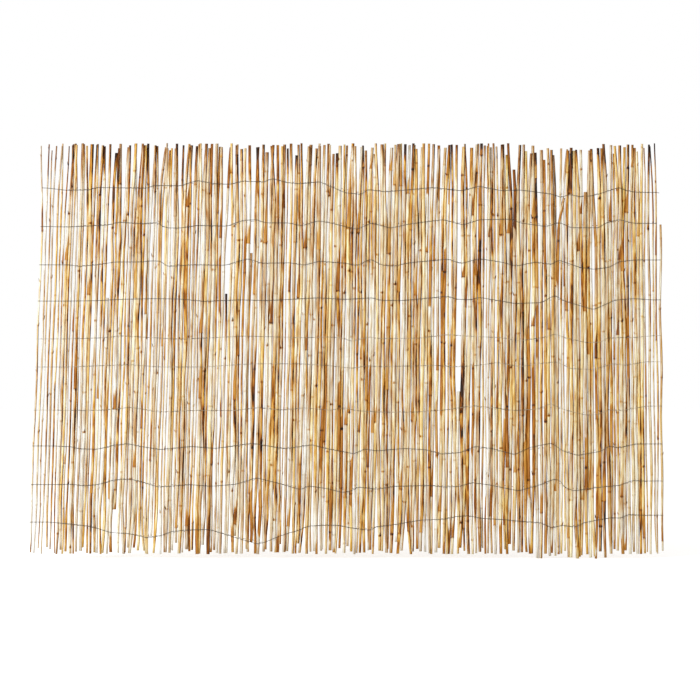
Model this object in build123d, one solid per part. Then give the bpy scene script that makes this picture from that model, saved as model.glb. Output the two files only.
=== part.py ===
from build123d import *
import os
import random
from typing import NamedTuple

# Sizes are in millimetres. X runs along the screen, Z runs up the reeds and the front looks towards -Y.

# The screen as a whole. Its reeds draw together towards their heads.
REED_LENGTH = 1000
FOOT_WIDTH = 1565
HEAD_WIDTH = 1518
LEFT_LEAN = 37

# The reeds, counted from the left: a loose group, the mat and another loose group.
LEFT_LOOSE_COUNT = 7
MAT_REED_COUNT = 170
RIGHT_LOOSE_COUNT = 5
REED_SEED = 12
WIDTH_SCATTER = 0.22
FAN_SCATTER = 0.07
LOOSE_SPACING_SHARE = 1.15
LOOSE_FILL_SHARE = 0.5

# The section of a reed: a flat crest at front and back, and a flat flank on each side.
CREST_DEPTH = 4.2
FLANK_DEPTH = 1.5
SHOULDER_SHARE = 0.29
SINK_CHOICES = (0, 0, 0.6, 1.2)

# The ragged ends. One bundle has slipped down between its neighbours.
HEAD_REACH = 10
HEAD_SCATTER = 7
HEAD_DROP_LIMIT = 45
FOOT_SCATTER = 6
FOOT_RISE_LIMIT = 30
SLIPPED_BUNDLE_SHARES = (0.80, 0.91)
SLIP = 11

# Reeds that stop short: how far along the foot of the screen, and the heights of the two ends, in percent.
SHORT_REEDS = [
    (12.0, 0, 63), (14.3, 11, 100), (20.3, 4.5, 100), (30.6, 0, 64), (33.2, 4.5, 100), (34.5, 0, 74),
    (67.4, 0, 40), (76.4, 0, 94.5), (83.3, 0, 87.5), (87.3, 0, 89), (99.6, 0, 81),
]

# Gaps that go right through the mat: how far along, the heights of the two ends in percent, and the width.
# One that starts at 0 is open at the foot, and one that ends at 100 is open at the head.
GAPS = [
    (8.9, 89.7, 100, 5), (10.0, 90, 100, 6), (12.0, 62, 100, 9), (13.5, 90.7, 100, 8), (14.8, 72, 100, 6),
    (15.5, 90, 100, 6), (16.3, 90, 100, 6), (17.2, 90, 100, 9), (19.3, 90.7, 100, 9), (20.5, 90.7, 100, 5),
    (22.2, 93, 100, 8), (23.3, 90.7, 100, 5), (25.9, 91.9, 100, 6), (27.6, 91.6, 100, 9), (30.6, 63, 100, 9),
    (34.5, 73, 100, 9), (36.6, 91.6, 100, 6), (43.5, 91.4, 100, 9), (49.7, 92.4, 100, 9), (55.6, 91, 100, 9),
    (56.7, 80, 100, 9), (59.4, 90, 100, 8), (69.7, 90.4, 100, 8), (76.5, 89.7, 100, 10), (83.3, 87, 100, 10),
    (87.3, 88.5, 100, 10), (91.3, 91.4, 100, 6), (93.4, 90, 100, 6),
    (14.1, 73.5, 81.3, 4.7), (16.7, 42.3, 55.5, 2.5), (17.4, 46.9, 62.4, 2.7), (24.2, 26.5, 41.3, 3.4),
    (24.9, 38.1, 49.1, 3), (27.8, 45.9, 59.7, 2.7), (28.6, 26.3, 35.9, 3.2), (31.3, 17.2, 26, 3.4),
    (32.9, 59.2, 71.7, 2.5), (42.7, 36.1, 47.2, 3), (43.9, 51.4, 65.1, 3.2), (55.4, 25.6, 36.1, 5.9),
    (59.4, 16.7, 25.8, 3.9), (67.4, 36, 52, 5),
    (11.7, 6.4, 17.2, 4.2), (15.7, 7.9, 18.2, 3.7), (27.5, 6.4, 16.5, 3.9), (35.8, 2.7, 18.4, 6.6),
    (37.4, 3.2, 13.3, 3.9), (38.7, 10.6, 17.4, 4.9),
    (14.3, 0, 12, 8), (17.7, 0, 4, 8), (20.3, 0, 12, 8), (33.2, 0, 12.5, 8), (43.2, 0, 6.4, 7),
    (54.8, 0, 16, 7), (59.3, 0, 7.6, 8), (68.3, 0, 6.6, 6), (69.3, 0, 9.3, 5), (90.3, 0, 7.1, 5),
    (92.9, 0, 9.1, 8),
]

# Long slits between reeds that don't quite touch. They are common in the left part of the screen and
# rarer in the rest.
SLIT_SEED = 5
LEFT_PART_SHARE = 0.4
LEFT_SLIT_CHANCE = 0.82
OTHER_SLIT_CHANCE = 0.16
SLIT_ENDS = (35, 90)
SLIT_TAPER = 50
SLIT_WIDTHS = (2.2, 3.8)
SLIT_ROOM = 40

# The binding wires. Each row has its height as a share of the reed length, and its bends from left to
# right: how far along the foot of the screen, in percent, and how far above the row's height.
WIRE_SIZE = 0.9
WIRE_END_ROOM = 0.5
BACK_BEND_STEP_COUNT = 3
WIRE_ROWS = [
    (0.899, [(2.8, 1), (6.1, -5), (9.6, -4), (10.9, 2), (18.6, 0), (19.8, 7), (23.8, 6), (26.6, 19),
             (29.3, 11), (31.8, 10), (33.7, 18), (37, 15), (38.4, 24), (40.6, 14), (42.8, 11),
             (45.8, 16), (49.8, -11), (52.3, -15), (53.4, -3), (56.1, -9), (63.6, 2), (68, -6),
             (70.9, 5), (74.3, -6), (77.2, -4), (82.4, -15), (83.8, -23), (84.9, -15), (86.5, -21),
             (88.8, -18), (92.8, 2), (93.9, -6), (95.7, -10)]),
    (0.811, [(3, -6), (6.5, -7), (12.8, -2), (14.2, 5), (18, 1), (20.2, 4), (21.7, -9), (23.8, -10),
             (26.6, -3), (31.3, -5), (33.7, 9), (35.9, 11), (37.3, 3), (40.8, 3), (43, -4), (45.5, 8),
             (47.2, 4), (51.7, -13), (53.9, 3), (56.9, -10), (59.8, 0), (65.2, 11), (68.2, -2),
             (71, 11), (76.1, 12), (77.2, 3), (81.3, -6), (83.5, 4), (85.2, -9), (89.6, -9), (90.7, 3),
             (92.8, 11), (95.1, 2)]),
    (0.715, [(6.5, -4), (8, -8), (10.9, -4), (13.7, 3), (17.8, 3), (19.4, 6), (20.8, 5), (21.9, -8),
             (26, -4), (31, -5), (34.5, 11), (36.7, 0), (41.1, 1), (43.3, -5), (45.8, 5), (49.8, 0),
             (51.7, -6), (53.7, 10), (55.7, -5), (57.6, -7), (59.8, 1), (66, 10), (67.9, -1),
             (70.9, 11), (74.2, 3), (76.7, -7), (79.7, 3), (82.2, -3), (83.3, 8), (86.5, -10),
             (88.8, -15), (91.3, -10), (92.8, 4), (95.3, 8)]),
    (0.624, [(6.5, -2), (11.2, -1), (14, 2), (19.8, 4), (23.9, 3), (27.7, -3), (33.2, 1), (37.5, -1),
             (45.5, 6), (49.8, 2), (54, 6), (55.4, 0), (58.6, -1), (66, 10), (67.2, 3), (69.3, 1),
             (70.9, 7), (74.3, -2), (76.5, -8), (80.5, -6), (82.7, 12), (84.4, -3), (88.8, -23),
             (92.1, 0), (95.1, 4), (97.8, 1)]),
    (0.531, [(6.5, -2), (12, 1), (14.8, 6), (19.8, 1), (23.8, -3), (27.9, 0), (34, 5), (43.3, 1),
             (47.1, 3), (49.1, 1), (50.9, -8), (53.4, 3), (55.4, -1), (61.6, 0), (65.7, 9), (70.2, 4),
             (74.3, 1), (76.9, -7), (80.5, 0), (82.7, 10), (84.4, 1), (87.6, -11), (89.9, -10), (91, 1),
             (95.6, 2), (98.1, 6)]),
    (0.462, [(6, -2), (12.4, 2), (15.9, 4), (20.9, -2), (27.7, -2), (34, 5), (37, 6), (42.7, 6),
             (47.1, 2), (50.9, -5), (53.1, 1), (55.4, -1), (63.8, 2), (67.1, -2), (70.7, 2), (73.7, 9),
             (77.3, -1), (79.8, 5), (83, 11), (85.2, -6), (88.8, -8), (91.8, 6), (93.9, 2), (97, 11)]),
    (0.354, [(4.1, 0), (8.7, -1), (12, 0), (16.2, 7), (20.6, -5), (25.4, -1), (32.4, -1), (36.1, 7),
             (40, 0), (43.3, 6), (47.4, 0), (49.8, 6), (51.5, -1), (55.3, -5), (60.2, -5), (65.2, 0),
             (69.9, 11), (73.7, 5), (76.4, -1), (80, 3), (82, 16), (84.4, 0), (87.6, -12), (89.6, -10),
             (91.2, 1), (93.1, -1), (97.2, 10)]),
    (0.260, [(4.1, 6), (6.9, 4), (8, -1), (10.9, -2), (13.5, 8), (15.6, 12), (18.4, 3), (20.8, -3),
             (25.7, 5), (29.4, 0), (35.3, 13), (40.3, -1), (44.6, 9), (46.8, 0), (49.8, -9),
             (51.2, -13), (52.9, -1), (54.8, -6), (59.1, 0), (62.4, -3), (64.9, -14), (67.9, -10),
             (70.2, 5), (72.8, 0), (76.4, -15), (78.9, 3), (82.2, 13), (84.1, -7), (86.3, -17),
             (89.9, -7), (91.2, 6), (92.6, 1), (95.4, 11)]),
    (0.170, [(4.1, 1), (6.8, 2), (8.8, -2), (11, 1), (13.1, 11), (14.6, 15), (16.4, 14), (20.6, -5),
             (25.4, 1), (28.8, -3), (32.6, 2), (35.9, 18), (38.7, 7), (42.8, -11), (44.1, -2),
             (47.1, -9), (49.4, -18), (50.7, -15), (51.8, -5), (54.8, -10), (57.6, -3), (63.1, -1),
             (65.5, -5), (67.7, -3), (69.8, 6), (72.6, 0), (77, -14), (80.3, 0), (82.4, 14), (83.6, 12),
             (84.1, -5), (85.7, -14), (89.9, -5), (92.8, -1), (94.8, 11), (97.2, 10)]),
    (0.069, [(3.3, 10), (5.7, 7), (9.8, 0), (13.1, -16), (15.9, -18), (18.9, -29), (20.9, -23),
             (22.5, -13), (25.4, -9), (28.5, -8), (32.4, -27), (36.1, -44), (37.3, -39), (39.5, -24),
             (42.7, -9), (43.9, 0), (46.8, 3), (49, 2), (50.6, -4), (53.7, -10), (54.6, -2), (57.6, 4),
             (61.6, 15), (65.2, 17), (67.4, 24), (69.1, 26), (71.3, 19), (75, 16), (77.3, 12),
             (80.5, 9), (82.2, -4), (83.9, 2), (86, -2), (87.2, 8), (89.6, 16), (91.5, 21), (93.1, 20),
             (94.2, 29), (96.2, 27)]),
]


class Reed(NamedTuple):
    """A straight reed: the edges of its foot and head, its two ends and how deep its crest lies."""
    foot_left: float
    foot_right: float
    head_left: float
    head_right: float
    bottom: float
    top: float
    sink: float
    loose: bool

    def left_at(self, height):
        return self.foot_left + (self.head_left - self.foot_left) * height / REED_LENGTH

    def right_at(self, height):
        return self.foot_right + (self.head_right - self.foot_right) * height / REED_LENGTH

    def middle_at(self, height):
        return (self.left_at(height) + self.right_at(height)) / 2


class Gap(NamedTuple):
    """A gap between a reed of the mat and the next one on its right, from one height to another."""
    index: int
    low: float
    high: float
    width: float


def split_width(width, start, shares):
    """The edges of lanes that split a width in the ratio of their shares."""
    scale = width / sum(shares)
    edges = [start]
    for share in shares:
        edges.append(edges[-1] + share * scale)
    return edges


def narrowed(edges, share):
    """A lane's two edges, drawn in about its middle."""
    middle = sum(edges) / 2
    half = (edges[1] - edges[0]) / 2 * share
    return [middle - half, middle + half]


def lay_out_reeds():
    """All the reeds from left to right, each in a lane of its own."""
    dice = random.Random(REED_SEED)
    count = LEFT_LOOSE_COUNT + MAT_REED_COUNT + RIGHT_LOOSE_COUNT
    in_mat = range(LEFT_LOOSE_COUNT, LEFT_LOOSE_COUNT + MAT_REED_COUNT)
    foot_shares = []
    head_shares = []
    for index in range(count):
        share = dice.uniform(1 - WIDTH_SCATTER, 1 + WIDTH_SCATTER)
        if index not in in_mat:
            share *= LOOSE_SPACING_SHARE
        foot_shares.append(share)
        head_shares.append(share * dice.uniform(1 - FAN_SCATTER, 1 + FAN_SCATTER))
    foot_edges = split_width(FOOT_WIDTH, 0, foot_shares)
    head_edges = split_width(HEAD_WIDTH, LEFT_LEAN, head_shares)

    reeds = []
    for index in range(count):
        foot = foot_edges[index:index + 2]
        head = head_edges[index:index + 2]
        bottom = min(dice.expovariate(1 / FOOT_SCATTER), FOOT_RISE_LIMIT)
        top = REED_LENGTH + HEAD_REACH - min(dice.expovariate(1 / HEAD_SCATTER), HEAD_DROP_LIMIT)
        sink = dice.choice(SINK_CHOICES)
        if index not in in_mat:
            sink = 0
            foot = narrowed(foot, LOOSE_FILL_SHARE)
            head = narrowed(head, LOOSE_FILL_SHARE)
        if SLIPPED_BUNDLE_SHARES[0] < index / count < SLIPPED_BUNDLE_SHARES[1]:
            bottom -= SLIP
            top -= SLIP
        reeds.append(Reed(*foot, *head, bottom, top, sink, index not in in_mat))

    for along, bottom, top in SHORT_REEDS:
        low = REED_LENGTH * bottom / 100
        high = REED_LENGTH * top / 100
        offsets = [abs(reed.middle_at((low + high) / 2) - FOOT_WIDTH * along / 100) for reed in reeds]
        index = offsets.index(min(offsets))
        reeds[index] = reeds[index]._replace(
            bottom=max(low, reeds[index].bottom),
            top=min(high, reeds[index].top),
        )
    return reeds


def find_gaps(mat):
    """The gaps of the mat that stand out."""
    gaps = []
    for along, low_percent, high_percent, width in GAPS:
        low = REED_LENGTH * low_percent / 100
        high = REED_LENGTH * high_percent / 100
        offsets = [abs(reed.right_at((low + high) / 2) - FOOT_WIDTH * along / 100) for reed in mat[:-1]]
        gaps.append(Gap(offsets.index(min(offsets)), low, high, width))
    return gaps


def find_slits(mat, gaps):
    """The long slits of the mat. They keep clear of the gaps, and of edges with a gap halfway up."""
    dice = random.Random(SLIT_SEED)
    slits = []
    for index in range(len(mat) - 1):
        in_left_part = index < LEFT_PART_SHARE * len(mat)
        chance = LEFT_SLIT_CHANCE if in_left_part else OTHER_SLIT_CHANCE
        low = dice.uniform(*SLIT_ENDS)
        high = REED_LENGTH - dice.uniform(*SLIT_ENDS)
        width = dice.uniform(*SLIT_WIDTHS)
        for gap in gaps:
            if gap.index == index and gap.high >= REED_LENGTH:
                high = min(high, gap.low - SLIT_ROOM)
            elif gap.index == index and gap.low <= 0:
                low = max(low, gap.high + SLIT_ROOM)
            elif gap.index == index:
                chance = 0
        if dice.random() < chance:
            slits.append(Gap(index, low, high, width))
    return slits


def flat_face(points):
    """The flat face inside a closed line of points."""
    return Face(Wire.make_polygon([Vector(*point) for point in points]))


def reed_solid(reed):
    """A reed as a flat-sided solid whose flanks meet its neighbours' flanks."""
    shoulder = SHOULDER_SHARE * (reed.foot_right - reed.foot_left + reed.head_right - reed.head_left) / 2
    crest = CREST_DEPTH - reed.sink

    def section(height):
        left = reed.left_at(height)
        right = reed.right_at(height)
        outline = [
            (left, -FLANK_DEPTH), (left + shoulder, -crest),
            (right - shoulder, -crest), (right, -FLANK_DEPTH),
            (right, FLANK_DEPTH), (right - shoulder, crest),
            (left + shoulder, crest), (left, FLANK_DEPTH),
        ]
        return [(x, y, height) for x, y in outline]

    low = section(reed.bottom)
    high = section(reed.top)
    faces = [flat_face(low), flat_face(high)]
    for corner in range(len(low)):
        before = corner - 1
        faces.append(flat_face([low[before], low[corner], high[corner], high[before]]))
    return Solid(Shell(faces))


def gap_outline(gap):
    """The corners of a gap, as offsets from the edge of the reed and heights."""
    half = gap.width / 2
    if gap.high >= REED_LENGTH:
        mouth = REED_LENGTH + 2 * HEAD_REACH
        return [(0, gap.low), (half, mouth), (-half, mouth)]
    if gap.low <= 0:
        mouth = -2 * SLIP
        return [(0, gap.high), (half, mouth), (-half, mouth)]
    middle = (gap.low + gap.high) / 2
    return [(0, gap.low), (half, middle), (0, gap.high), (-half, middle)]


def slit_outline(slit):
    """The corners of a slit with straight sides and pointed ends."""
    half = slit.width / 2
    low = slit.low + SLIT_TAPER
    high = slit.high - SLIT_TAPER
    return [(0, slit.low), (half, low), (half, high), (0, slit.high), (-half, high), (-half, low)]


def through_cutter(reed, outline):
    """A prism that cuts an outline right through the mat along the reed's right edge."""
    reach = 2 * CREST_DEPTH
    corners = [(reed.right_at(height) + offset, -reach, height) for offset, height in outline]
    return extrude(flat_face(corners), 2 * reach, (0, 1, 0))


def wire_course(reeds, row_height, bends):
    """The points of a wire from the first reed that it holds to the last."""
    held = [reed for reed in reeds if reed.bottom < row_height < reed.top]
    first_x = held[0].left_at(row_height) - WIRE_END_ROOM
    last_x = held[-1].right_at(row_height) + WIRE_END_ROOM
    inside = []
    for along, rise in bends:
        x = FOOT_WIDTH * along / 100
        if first_x + WIRE_SIZE < x < last_x - WIRE_SIZE:
            inside.append((x, row_height + rise))
    first_z = inside[0][1]
    last_z = inside[-1][1]
    return [
        (first_x - WIRE_SIZE, first_z), (first_x, first_z), *inside,
        (last_x, last_z), (last_x + WIRE_SIZE, last_z),
    ]


def strand(course, side):
    """A wire against the crests on one side, with its ends turned in to meet the other strand."""
    half = WIRE_SIZE / 2
    inner = side * CREST_DEPTH
    outline = [(x, inner, z + half) for x, z in course]
    outline += [(x, inner, z - half) for x, z in reversed(course)]
    wire = extrude(flat_face(outline), WIRE_SIZE, (0, side, 0))
    for x, z in (course[0], course[-2]):
        leg = flat_face([
            (x, 0, z - half), (x + WIRE_SIZE, 0, z - half), (x + WIRE_SIZE, 0, z + half), (x, 0, z + half),
        ])
        wire += extrude(leg, CREST_DEPTH + WIRE_SIZE, (0, side, 0))
    return wire


reeds = lay_out_reeds()
mat = [reed for reed in reeds if not reed.loose]
solids = [reed_solid(reed) for reed in mat]
gaps = find_gaps(mat)
cutters = [through_cutter(mat[gap.index], gap_outline(gap)) for gap in gaps]
cutters += [through_cutter(mat[slit.index], slit_outline(slit)) for slit in find_slits(mat, gaps)]
parts = {"reed_mat": solids[0].fuse(*solids[1:]).cut(*cutters)}

for number, reed in enumerate(reeds[:LEFT_LOOSE_COUNT], start=1):
    parts[f"reed_left_{number}"] = reed_solid(reed)
for number, reed in enumerate(reeds[-RIGHT_LOOSE_COUNT:], start=1):
    parts[f"reed_right_{number}"] = reed_solid(reed)

for number, (height_share, bends) in enumerate(WIRE_ROWS, start=1):
    course = wire_course(reeds, REED_LENGTH * height_share, bends)
    back_course = course[:2] + course[2:-2:BACK_BEND_STEP_COUNT] + course[-2:]
    parts[f"wire_{number:02d}_front"] = strand(course, -1)
    parts[f"wire_{number:02d}_back"] = strand(back_course, 1)

# The lowest foot stands at height zero and the screen is centred across it.
box = Compound(list(parts.values())).bounding_box()
to_frame = Location((-box.center().X, 0, -box.min.Z))
os.makedirs("parts", exist_ok=True)
for name, shape in parts.items():
    export_step(to_frame * shape, f"parts/{name}.step")
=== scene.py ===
import math
import random
from typing import NamedTuple

import bpy
import numpy as np
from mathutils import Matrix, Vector


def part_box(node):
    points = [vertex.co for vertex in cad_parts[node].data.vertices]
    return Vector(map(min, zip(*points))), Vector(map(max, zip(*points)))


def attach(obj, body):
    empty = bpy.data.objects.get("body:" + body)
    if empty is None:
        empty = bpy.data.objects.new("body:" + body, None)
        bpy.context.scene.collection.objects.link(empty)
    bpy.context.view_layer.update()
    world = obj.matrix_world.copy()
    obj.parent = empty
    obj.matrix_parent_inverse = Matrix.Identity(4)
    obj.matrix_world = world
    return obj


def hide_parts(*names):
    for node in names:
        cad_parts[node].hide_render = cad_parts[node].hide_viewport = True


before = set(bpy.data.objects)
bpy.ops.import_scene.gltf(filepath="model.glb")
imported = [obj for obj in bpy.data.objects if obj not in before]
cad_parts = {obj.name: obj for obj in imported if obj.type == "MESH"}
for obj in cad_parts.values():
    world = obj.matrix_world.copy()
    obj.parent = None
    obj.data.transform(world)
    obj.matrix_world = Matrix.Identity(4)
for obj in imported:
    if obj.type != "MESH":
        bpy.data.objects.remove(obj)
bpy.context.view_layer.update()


class Grain(NamedTuple):
    """Noise on a surface: how fine it is, how it is drawn out along the reed and how it changes the tone."""
    scale: float
    squash: float
    low: float
    high: float
    reach: float


# The layout is in millimetres and is brought to the frame at the end. X runs along the screen, Z runs up
# the reeds and the front looks towards -Y.
MM = 0.001

# The screen as a whole. Its reeds draw together towards their heads.
REED_LENGTH = 1000
FOOT_WIDTH = 1565
HEAD_WIDTH = 1518
LEFT_LEAN = 37

# The reeds, counted from the left: a loose group, the mat and another loose group.
LEFT_LOOSE_COUNT = 7
MAT_REED_COUNT = 170
RIGHT_LOOSE_COUNT = 5
REED_SEED = 12
WIDTH_SCATTER = 0.22
FAN_SCATTER = 0.07
LOOSE_SPACING_SHARE = 1.15
LOOSE_FILL_SHARE = 0.5
SINK_CHOICES = (0, 0, 0.6, 1.2)

# The ragged ends. One bundle has slipped down between its neighbours.
HEAD_REACH = 10
HEAD_SCATTER = 7
HEAD_DROP_LIMIT = 45
FOOT_SCATTER = 6
FOOT_RISE_LIMIT = 30
SLIPPED_BUNDLE_SHARES = (0.80, 0.91)
SLIP = 11

# Reeds that stop short: how far along the foot of the screen, and the heights of the two ends, in percent.
SHORT_REEDS = [
    (12.0, 0, 63), (14.3, 11, 100), (20.3, 4.5, 100), (30.6, 0, 64), (33.2, 4.5, 100), (34.5, 0, 74),
    (67.4, 0, 40), (76.4, 0, 94.5), (83.3, 0, 87.5), (87.3, 0, 89), (99.6, 0, 81),
]

# Reeds that are bent over to the right at a break: how far along and the height of the break, in percent,
# and how far the end leans.
BENT_REEDS = [(83.3, 80.5, 12)]

# Gaps where the reeds part: how far along, the heights of the two ends in percent, and the width.
# One that starts at 0 is open at the foot, and one that ends at 100 is open at the head.
GAPS = [
    (8.9, 89.7, 100, 5), (10.0, 90, 100, 6), (12.0, 62, 100, 9), (13.5, 90.7, 100, 8), (14.8, 72, 100, 6),
    (15.5, 90, 100, 6), (16.3, 90, 100, 6), (17.2, 90, 100, 9), (19.3, 90.7, 100, 9), (20.5, 90.7, 100, 5),
    (22.2, 93, 100, 8), (23.3, 90.7, 100, 5), (25.9, 91.9, 100, 6), (27.6, 91.6, 100, 9), (30.6, 63, 100, 9),
    (34.5, 73, 100, 9), (36.6, 91.6, 100, 6), (43.5, 91.4, 100, 9), (49.7, 92.4, 100, 9), (55.6, 91, 100, 9),
    (56.7, 80, 100, 9), (59.4, 90, 100, 8), (69.7, 90.4, 100, 8), (76.5, 89.7, 100, 10), (83.3, 87, 100, 10),
    (87.3, 88.5, 100, 10), (91.3, 91.4, 100, 6), (93.4, 90, 100, 6),
    (14.1, 73.5, 81.3, 4.7), (16.7, 42.3, 55.5, 2.5), (17.4, 46.9, 62.4, 2.7), (24.2, 26.5, 41.3, 3.4),
    (24.9, 38.1, 49.1, 3), (27.8, 45.9, 59.7, 2.7), (28.6, 26.3, 35.9, 3.2), (31.3, 17.2, 26, 3.4),
    (32.9, 59.2, 71.7, 2.5), (42.7, 36.1, 47.2, 3), (43.9, 51.4, 65.1, 3.2), (55.4, 25.6, 36.1, 5.9),
    (59.4, 16.7, 25.8, 3.9), (67.4, 36, 52, 5),
    (11.7, 6.4, 17.2, 4.2), (15.7, 7.9, 18.2, 3.7), (27.5, 6.4, 16.5, 3.9), (35.8, 2.7, 18.4, 6.6),
    (37.4, 3.2, 13.3, 3.9), (38.7, 10.6, 17.4, 4.9),
    (14.3, 0, 12, 8), (17.7, 0, 4, 8), (20.3, 0, 12, 8), (33.2, 0, 12.5, 8), (43.2, 0, 6.4, 7),
    (54.8, 0, 16, 7), (59.3, 0, 7.6, 8), (68.3, 0, 6.6, 6), (69.3, 0, 9.3, 5), (90.3, 0, 7.1, 5),
    (92.9, 0, 9.1, 8),
]
PARTING_REACH = 4
PARTING_SHARE = 0.7

# Lanes that a broken reed has left, where its neighbours have moved apart: how far along, the heights of
# the two ends in percent, and how much wider the lane is.
WIDE_LANES = [(67.4, 36, 99, 6)]

# Long slits between reeds that don't quite touch. They are common in the left part of the screen and
# rarer in the rest.
SLIT_SEED = 5
LEFT_PART_SHARE = 0.4
LEFT_SLIT_CHANCE = 0.82
OTHER_SLIT_CHANCE = 0.16
SLIT_ENDS = (35, 90)
SLIT_TAPER = 50
SLIT_WIDTHS = (2.2, 3.8)
SLIT_ROOM = 40

# The form of a reed: a hollow stem with joints along it, that is a little crooked. How much of its lane it
# fills goes by how far along it stands, in percent. It is thinner at its ends.
FORM_SEED = 31
SIDES = 12
RING_STEP = 20
FILLS_ALONG = [
    (0, 0.97), (12, 0.98), (26, 1.03), (38, 1.02), (50, 0.96), (62, 0.98), (75, 1.0), (100, 1.04),
]
FILL_SCATTER = 0.12
LARGEST_RADIUS = 4.7
TAPER_SHARE = 0.07
HEAD_THINNING = (850, 0.27)
FOOT_THINNING = (130, 0.32)
SECTION_SCATTER = 0.05
DEPTHS = (0.2, 1.5)
SWAY = (0.3, 1.1)
SWAY_LENGTHS = (180, 600)
KINK = 1.0
HOLLOW_SHARE = 0.6
HOLLOW_DEPTH = 7
HOLLOW_FLOOR_SHARE = 0.1

# The joints of a reed. Each has rings at these offsets, with how wide the ring is and how much of the
# joint's mark it takes.
JOINT_SPACING = (95, 215)
FIRST_JOINT_LEAST = 15
LAST_JOINT_ROOM = 8
JOINT_CLEARANCE = 6
JOINT_RINGS = [
    (-4, 0.99, 0), (-1.6, 1.0, 0.6), (-0.7, 1.07, 1), (0.5, 1.08, 1), (1.4, 1.03, 0.7), (4, 1.0, 0),
]

# The buds at the joints: the height, the reach and the radius of each ring of a bud.
BUD_RINGS = [(-1.5, -0.6, 0.25), (0, -0.3, 0.9), (3, 0.3, 0.7), (7, 1.3, 0.15)]
BUD_SIZES = (0.6, 1.3)
BUD_TONES = (0.72, 0.92)
LEAST_BUD_DARKNESS = 0.35

# The heads and feet bend aside, from a height that is drawn, across the screen and in its depth.
HEAD_SPLAY_STARTS = (740, 900)
HEAD_SPLAY = (3.6, 2.5)
FOOT_SPLAY_STARTS = (70, 180)
FOOT_SPLAY = (2.2, 1.5)
SPLAY_POWER = 1.4

# The pieces of the mat, the values that colour a stem, and the places that stems, buds and wires take on
# the map of their mesh: where they start and how far they reach.
VALUE_NAMES = ["tone", "painted_shade_tone", "side", "flank", "gold", "joint", "brown", "brown_tone"]
STRIP_NAMES = ["reed_mat_left", "reed_mat_middle", "reed_mat_right"]
COLUMN_MAP_START = 0.04
COLUMN_MAP_REACH = 0.92
STEM_MAP_START = 0.002
STEM_MAP_REACH = 0.96
BUD_MAP_START = 0.965
BUD_MAP_REACH = 0.033
BUD_MAP_WIDTH = 0.8
WIRE_MAP_START = 0.002
WIRE_MAP_REACH = 0.996
WIRE_MAP_SIDE_START = 0.02
WIRE_MAP_SIDE_REACH = 0.96

# The tone of a reed runs from 0, a pale cream, to 1, a brown that is nearly black. It goes by how far along
# the screen the reed stands, in percent, and drifts from one section between two joints to the next. One
# side of a section, most often the right one, is darker with painted shade. Some sections keep a bit of
# brown leaf, which is widest at the joint below and runs out to a point.
TONES_ALONG = [
    (0, 0.34), (15, 0.33), (30, 0.39), (45, 0.37), (57, 0.33), (70, 0.36), (83, 0.38), (97, 0.33),
]
REED_TONE_SCATTER = 0.04
SECTION_TONE_SCATTER = 0.08
# How dark the painted shade on one side of a section is, and how far the side it faces scatters.
PAINTED_SHADE_TONES = (0.16, 0.58)
SIDE_ANGLE_SCATTER = 0.8
NO_BROWN = -0.5
BROWN_SECTION_SHARES = (0.05, 0.22)
BROWN_TONES = (0.52, 0.80)
BROWN_SWELL = 0.06
BROWN_BLEND = 30
JOINT_MARKS = (0.0, 0.25)
BUD_MARK = 1.0
BUD_MARK_POWER = 1.6
BUD_MARK_TIGHTNESS = 6
DARK_TIP_LENGTHS = (25, 140)
DARK_TIP_TONES = (0.0, 0.6)
GOLD_POWERS = (2.8, 1.1)
RIM_TONE = 0.6
# The inside of a hollow end is painted dark as shade, darkest at its floor.
HOLLOW_SHADE_TONE = 0.95

# Brown stems: how far along the foot of the screen, the heights of the two ends, in percent, and the tone.
BROWN_STEMS = [
    (49.1, 0.5, 33, 0.68), (64.7, 46, 68, 0.68), (78.9, 14.5, 41, 0.68), (34.1, 57.5, 77, 0.66),
    (65.6, 61, 74.4, 0.68), (80.3, 48, 60, 0.68), (75.5, 24.3, 38, 0.78), (74.7, 16.2, 32.4, 0.68),
    (79.3, 31.2, 44.7, 0.68), (62.9, 61, 72.5, 0.68), (64.5, 88, 100, 0.68), (46.3, 21.4, 35.4, 0.68),
    (46.9, 27.8, 46, 0.68), (31.6, 90.7, 100, 0.78), (65, 34.6, 46, 0.68), (83.3, 67, 85, 0.68),
    (81, 70.3, 85.3, 0.68), (71.2, 79, 87.5, 0.68), (62.6, 89, 100, 0.68), (77.9, 12.5, 26.5, 0.68),
    (70.1, 25.3, 46, 0.68), (75.5, 90.4, 100, 0.8), (29.9, 86, 98, 0.68), (81.2, 87, 99, 0.68),
    (94, 44.5, 57, 0.68), (51, 12.3, 23, 0.68), (48.9, 26, 41.5, 0.68), (35.1, 2.7, 15.2, 0.68),
    (89.1, 2.7, 14.5, 0.68), (73.9, 0.7, 7.4, 0.68), (36.5, 5.2, 14.7, 0.68), (30, 59.5, 72.5, 0.68),
    (76.3, 81, 94.6, 0.86), (78.4, 10.3, 23.6, 0.58), (91.3, 25.8, 35.9, 0.58), (78.7, 41.5, 50.4, 0.58),
    (53.9, 35.4, 45.7, 0.68), (47.8, 3.7, 15.7, 0.68), (28.9, 89, 100, 0.78), (64.3, 24.3, 35, 0.58),
    (54, 90.4, 99, 0.68), (87.9, 16.2, 27.8, 0.68), (71.8, 0.5, 14.5, 0.68), (3.1, 94, 100, 0.9),
    (17.8, 88.7, 98, 0.78), (97.3, 36.4, 46.4, 0.68), (85.1, 92, 97.8, 0.9), (14.3, 93, 100, 0.9),
]
OUT_OF_REACH = -1e6

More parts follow.
